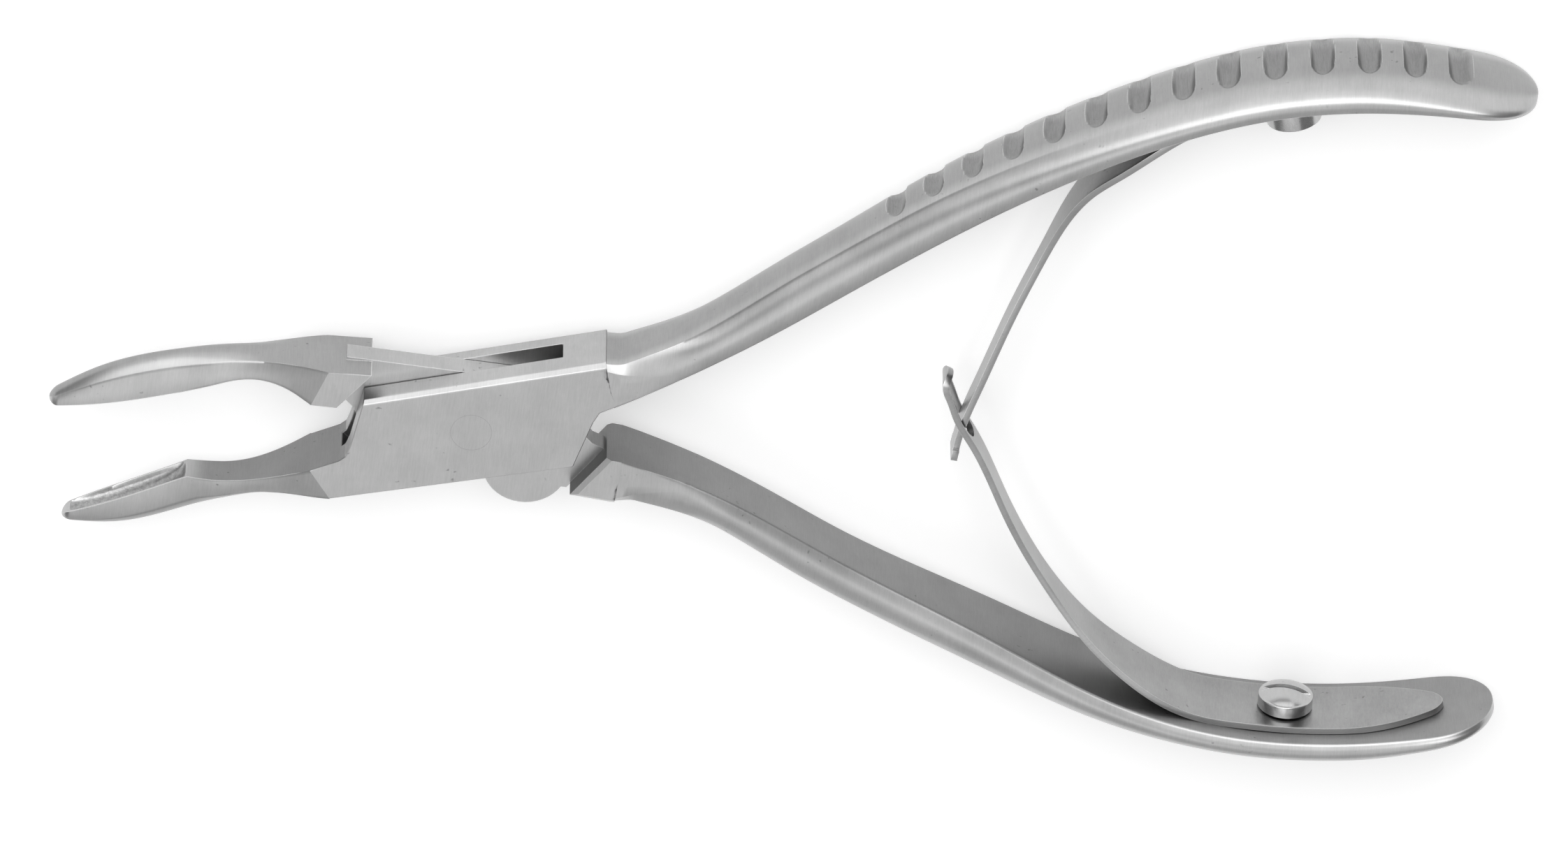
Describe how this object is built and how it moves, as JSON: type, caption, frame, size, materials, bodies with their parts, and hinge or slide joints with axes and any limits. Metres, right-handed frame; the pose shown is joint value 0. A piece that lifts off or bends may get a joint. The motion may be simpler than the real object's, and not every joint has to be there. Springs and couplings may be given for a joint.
{
  "type": "bone rongeur",
  "caption": "Single-action bone rongeur with curved cupped jaws, a box joint, fluted curved handles and a pair of interlocking leaf springs.",
  "frame": {"origin": "centre of the pivot on the side face of the box that the instrument rests on", "axes": "+Z along the pivot axis and up, -X towards the jaws, +X towards the handles, +Y towards the handle of the box half"},
  "size_m": [0.1454, 0.0794, 0.0122],
  "materials": {
    "forged_steel": "satin ground stainless steel with fine grinding lines, brighter on worn edges",
    "spring_steel": "satin rolled stainless strip with lengthwise grain",
    "screw_steel": "turned stainless steel, smooth domed head"
  },
  "bodies": {
    "box_half": {"box_half": "forged_steel", "pivot_pin": "forged_steel", "upper_spring_screw": "screw_steel"},
    "tongue_half": {"tongue_half": "forged_steel", "lower_spring_screw": "screw_steel"},
    "upper_spring": {"upper_leaf_spring": "spring_steel"},
    "lower_spring": {"lower_leaf_spring": "spring_steel"}
  },
  "joints": [
    {"name": "pivot", "type": "hinge", "parent": "box_half", "child": "tongue_half", "pos_m": [0, 0, 0.0035], "axis": [0, 0, 1], "range_deg": [0, 17], "stiffness_Nm_per_rad": 3, "springref_deg": -2.86},
    {"name": "upper_spring_flex", "type": "hinge", "parent": "box_half", "child": "upper_spring", "pos_m": [0.064, 0.03, 0.0035], "axis": [0, 0, 1], "range_deg": [-14.7, 0], "deforming": ["upper_leaf_spring"]},
    {"name": "lower_spring_flex", "type": "hinge", "parent": "tongue_half", "child": "lower_spring", "pos_m": [0.0645, -0.0295, 0.0035], "axis": [0, 0, 1], "range_deg": [0, 18.6], "deforming": ["lower_leaf_spring"]}
  ],
  "couplings": [
    {"joint": "upper_spring_flex", "follows": "pivot", "ratio": -0.86},
    {"joint": "lower_spring_flex", "follows": "pivot", "ratio": 1.09}
  ]
}
